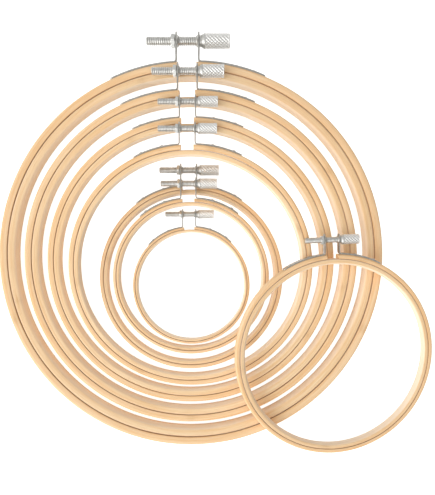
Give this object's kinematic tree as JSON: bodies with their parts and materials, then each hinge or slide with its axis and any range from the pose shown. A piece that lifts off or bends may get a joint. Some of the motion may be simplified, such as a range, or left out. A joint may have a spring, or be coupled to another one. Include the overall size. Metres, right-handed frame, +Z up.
{
  "type": "embroidery hoop set",
  "caption": "Nested set of round bamboo embroidery hoops: each inner ring sits in a split outer ring that a thumb screw closes through bent steel ears.",
  "frame": {"origin": "middle of the bounding box in plan, on the table the hoops lie on", "axes": "+Z straight up from the table, +Y in the plane of the table towards the screws, +X along the screws towards their heads"},
  "size_m": [0.3002, 0.2931, 0.0331],
  "materials": {
    "outer_wood": "bare sanded bamboo, satin",
    "inner_wood": "bare sanded bamboo, satin",
    "strip": "zinc plated, satin",
    "brad": "zinc plated, satin",
    "screw": "zinc plated, knurled grip",
    "nut": "bright zinc plated"
  },
  "bodies": {
    "hoop_1_outer": {"hoop_1_outer_ring": "outer_wood", "hoop_1_left_bracket": "strip", "hoop_1_right_bracket": "strip", "hoop_1_brads": "brad"},
    "hoop_1_inner": {"hoop_1_inner_ring": "inner_wood"},
    "hoop_1_screw": {"hoop_1_screw": "screw"},
    "hoop_1_nut": {"hoop_1_nut": "nut"},
    "hoop_2_outer": {"hoop_2_outer_ring": "outer_wood", "hoop_2_left_bracket": "strip", "hoop_2_right_bracket": "strip", "hoop_2_brads": "brad"},
    "hoop_2_inner": {"hoop_2_inner_ring": "inner_wood"},
    "hoop_2_screw": {"hoop_2_screw": "screw"},
    "hoop_2_nut": {"hoop_2_nut": "nut"},
    "hoop_3_outer": {"hoop_3_outer_ring": "outer_wood", "hoop_3_left_bracket": "strip", "hoop_3_right_bracket": "strip", "hoop_3_brads": "brad"},
    "hoop_3_inner": {"hoop_3_inner_ring": "inner_wood"},
    "hoop_3_screw": {"hoop_3_screw": "screw"},
    "hoop_3_nut": {"hoop_3_nut": "nut"},
    "hoop_4_outer": {"hoop_4_outer_ring": "outer_wood", "hoop_4_left_bracket": "strip", "hoop_4_right_bracket": "strip", "hoop_4_brads": "brad"},
    "hoop_4_inner": {"hoop_4_inner_ring": "inner_wood"},
    "hoop_4_screw": {"hoop_4_screw": "screw"},
    "hoop_4_nut": {"hoop_4_nut": "nut"},
    "hoop_5_outer": {"hoop_5_outer_ring": "outer_wood", "hoop_5_left_bracket": "strip", "hoop_5_right_bracket": "strip", "hoop_5_brads": "brad"},
    "hoop_5_inner": {"hoop_5_inner_ring": "inner_wood"},
    "hoop_5_screw": {"hoop_5_screw": "screw"},
    "hoop_5_nut": {"hoop_5_nut": "nut"},
    "hoop_6_outer": {"hoop_6_outer_ring": "outer_wood", "hoop_6_left_bracket": "strip", "hoop_6_right_bracket": "strip", "hoop_6_brads": "brad"},
    "hoop_6_inner": {"hoop_6_inner_ring": "inner_wood"},
    "hoop_6_screw": {"hoop_6_screw": "screw"},
    "hoop_6_nut": {"hoop_6_nut": "nut"},
    "hoop_7_outer": {"hoop_7_outer_ring": "outer_wood", "hoop_7_left_bracket": "strip", "hoop_7_right_bracket": "strip", "hoop_7_brads": "brad"},
    "hoop_7_inner": {"hoop_7_inner_ring": "inner_wood"},
    "hoop_7_screw": {"hoop_7_screw": "screw"},
    "hoop_7_nut": {"hoop_7_nut": "nut"},
    "hoop_8_outer": {"hoop_8_outer_ring": "outer_wood", "hoop_8_left_bracket": "strip", "hoop_8_right_bracket": "strip", "hoop_8_brads": "brad"},
    "hoop_8_inner": {"hoop_8_inner_ring": "inner_wood"},
    "hoop_8_screw": {"hoop_8_screw": "screw"},
    "hoop_8_nut": {"hoop_8_nut": "nut"}
  },
  "joints": [
    {"name": "hoop_1_inner_slide", "type": "slide", "parent": "hoop_1_outer", "child": "hoop_1_inner", "axis": [0, 0, 1], "range_m": [0, 0.0125]},
    {"name": "hoop_1_screw_turn", "type": "hinge", "parent": "hoop_1_outer", "child": "hoop_1_screw", "pos_m": [-0.01984, 0.13995, 0.0055], "axis": [1, 0, 0], "range_deg": [0, 4176]},
    {"name": "hoop_1_nut_slide", "type": "slide", "parent": "hoop_1_outer", "child": "hoop_1_nut", "axis": [-1, 0, 0], "range_m": [0, 0.0174]},
    {"name": "hoop_2_lift", "type": "slide", "parent": "hoop_1_inner", "child": "hoop_2_outer", "axis": [0, 0, 1], "range_m": [0, 0.03]},
    {"name": "hoop_2_inner_slide", "type": "slide", "parent": "hoop_2_outer", "child": "hoop_2_inner", "axis": [0, -0.0465, 0.9989], "range_m": [0, 0.01085]},
    {"name": "hoop_2_screw_turn", "type": "hinge", "parent": "hoop_2_outer", "child": "hoop_2_screw", "pos_m": [-0.01945, 0.11608, 0.01589], "axis": [1, 0, 0], "range_deg": [0, 4176]},
    {"name": "hoop_2_nut_slide", "type": "slide", "parent": "hoop_2_outer", "child": "hoop_2_nut", "axis": [-1, 0, 0], "range_m": [0, 0.01479]},
    {"name": "hoop_3_lift", "type": "slide", "parent": "hoop_2_inner", "child": "hoop_3_outer", "axis": [0, 0, 1], "range_m": [0, 0.03]},
    {"name": "hoop_3_inner_slide", "type": "slide", "parent": "hoop_3_outer", "child": "hoop_3_inner", "axis": [0, -0.0961, 0.9954], "range_m": [0, 0.00909]},
    {"name": "hoop_3_screw_turn", "type": "hinge", "parent": "hoop_3_outer", "child": "hoop_3_screw", "pos_m": [-0.01904, 0.09354, 0.02355], "axis": [1, 0, 0], "range_deg": [0, 4176]},
    {"name": "hoop_3_nut_slide", "type": "slide", "parent": "hoop_3_outer", "child": "hoop_3_nut", "axis": [-1, 0, 0], "range_m": [0, 0.01201]},
    {"name": "hoop_4_lift", "type": "slide", "parent": "hoop_3_inner", "child": "hoop_4_outer", "axis": [0, 0, 1], "range_m": [0, 0.03]},
    {"name": "hoop_4_inner_slide", "type": "slide", "parent": "hoop_4_outer", "child": "hoop_4_inner", "axis": [0, -0.1468, 0.9892], "range_m": [0, 0.00887]},
    {"name": "hoop_4_screw_turn", "type": "hinge", "parent": "hoop_4_outer", "child": "hoop_4_screw", "pos_m": [-0.01898, 0.0743, 0.02944], "axis": [1, 0, 0], "range_deg": [0, 4176]},
    {"name": "hoop_4_nut_slide", "type": "slide", "parent": "hoop_4_outer", "child": "hoop_4_nut", "axis": [-1, 0, 0], "range_m": [0, 0.01166]},
    {"name": "hoop_5_lift", "type": "slide", "parent": "hoop_4_inner", "child": "hoop_5_outer", "axis": [0, -0.1468, 0.9892], "range_m": [0, 0.03]},
    {"name": "hoop_5_inner_slide", "type": "slide", "parent": "hoop_5_outer", "child": "hoop_5_inner", "axis": [0, 0, 1], "range_m": [0, 0.00931]},
    {"name": "hoop_5_screw_turn", "type": "hinge", "parent": "hoop_5_outer", "child": "hoop_5_screw", "pos_m": [-0.01909, 0.04974, 0.00391], "axis": [1, 0, 0], "range_deg": [0, 4176]},
    {"name": "hoop_5_nut_slide", "type": "slide", "parent": "hoop_5_outer", "child": "hoop_5_nut", "axis": [-1, 0, 0], "range_m": [0, 0.01235]},
    {"name": "hoop_6_lift", "type": "slide", "parent": "hoop_5_inner", "child": "hoop_6_outer", "axis": [0, 0, 1], "range_m": [0, 0.03]},
    {"name": "hoop_6_inner_slide", "type": "slide", "parent": "hoop_6_outer", "child": "hoop_6_inner", "axis": [0, -0.0684, 0.9977], "range_m": [0, 0.00876]},
    {"name": "hoop_6_screw_turn", "type": "hinge", "parent": "hoop_6_outer", "child": "hoop_6_screw", "pos_m": [-0.01896, 0.03961, 0.01167], "axis": [1, 0, 0], "range_deg": [0, 4176]},
    {"name": "hoop_6_nut_slide", "type": "slide", "parent": "hoop_6_outer", "child": "hoop_6_nut", "axis": [-1, 0, 0], "range_m": [0, 0.01149]},
    {"name": "hoop_7_lift", "type": "slide", "parent": "hoop_6_inner", "child": "hoop_7_outer", "axis": [0, -0.2419, 0.9703], "range_m": [0, 0.03]},
    {"name": "hoop_7_inner_slide", "type": "slide", "parent": "hoop_7_outer", "child": "hoop_7_inner", "axis": [0, 0, 1], "range_m": [0, 0.00788]},
    {"name": "hoop_7_screw_turn", "type": "hinge", "parent": "hoop_7_outer", "child": "hoop_7_screw", "pos_m": [-0.01875, 0.01888, 0.00319], "axis": [1, 0, 0], "range_deg": [0, 4176]},
    {"name": "hoop_7_nut_slide", "type": "slide", "parent": "hoop_7_outer", "child": "hoop_7_nut", "axis": [-1, 0, 0], "range_m": [0, 0.01009]},
    {"name": "hoop_8_lift", "type": "slide", "parent": "hoop_7_inner", "child": "hoop_8_outer", "axis": [0, 0, 1], "range_m": [0, 0.04]},
    {"name": "hoop_8_inner_slide", "type": "slide", "parent": "hoop_8_outer", "child": "hoop_8_inner", "axis": [0.1284, -0.1052, 0.9861], "range_m": [0, 0.00843]},
    {"name": "hoop_8_screw_turn", "type": "hinge", "parent": "hoop_8_outer", "child": "hoop_8_screw", "pos_m": [0.07758, 0.00065, 0.02417], "axis": [0.9914, 0.0396, -0.1249], "range_deg": [0, 4176]},
    {"name": "hoop_8_nut_slide", "type": "slide", "parent": "hoop_8_outer", "child": "hoop_8_nut", "axis": [-0.9914, -0.0396, 0.1249], "range_m": [0, 0.01096]}
  ],
  "couplings": [
    {"joint": "hoop_1_nut_slide", "follows": "hoop_1_screw_turn", "m_per_rad": 0.00023873},
    {"joint": "hoop_2_nut_slide", "follows": "hoop_2_screw_turn", "m_per_rad": 0.00020292},
    {"joint": "hoop_3_nut_slide", "follows": "hoop_3_screw_turn", "m_per_rad": 0.00016473},
    {"joint": "hoop_4_nut_slide", "follows": "hoop_4_screw_turn", "m_per_rad": 0.00015995},
    {"joint": "hoop_5_nut_slide", "follows": "hoop_5_screw_turn", "m_per_rad": 0.0001695},
    {"joint": "hoop_6_nut_slide", "follows": "hoop_6_screw_turn", "m_per_rad": 0.00015756},
    {"joint": "hoop_7_nut_slide", "follows": "hoop_7_screw_turn", "m_per_rad": 0.00013846},
    {"joint": "hoop_8_nut_slide", "follows": "hoop_8_screw_turn", "m_per_rad": 0.0001504}
  ]
}
